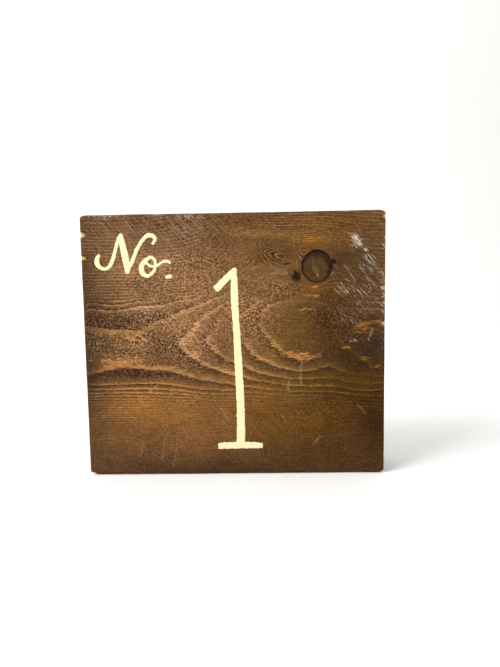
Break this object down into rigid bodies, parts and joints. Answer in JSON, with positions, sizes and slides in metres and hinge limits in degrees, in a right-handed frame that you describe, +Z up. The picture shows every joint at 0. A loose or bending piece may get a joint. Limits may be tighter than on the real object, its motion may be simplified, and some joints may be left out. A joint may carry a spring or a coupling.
{
  "type": "table number block",
  "caption": "Free-standing stained softwood block with a painted table number on its front face.",
  "frame": {"origin": "centre of the base, on the surface the block stands on", "axes": "+X along the grain, to the right as seen from the painted face; +Y from the painted face to the back; +Z up"},
  "size_m": [0.2094, 0.0383, 0.184],
  "materials": {
    "stained_softwood": "satin",
    "knot_wood": "satin",
    "bark": "matte",
    "cream_paint": "matte"
  },
  "bodies": {
    "root": {"board": "stained_softwood", "knot": "knot_wood", "knot_bark": "bark", "capital_n_paint": "cream_paint", "letter_o_paint": "cream_paint", "full_stop_paint": "cream_paint", "numeral_one_paint": "cream_paint"}
  },
  "joints": []
}
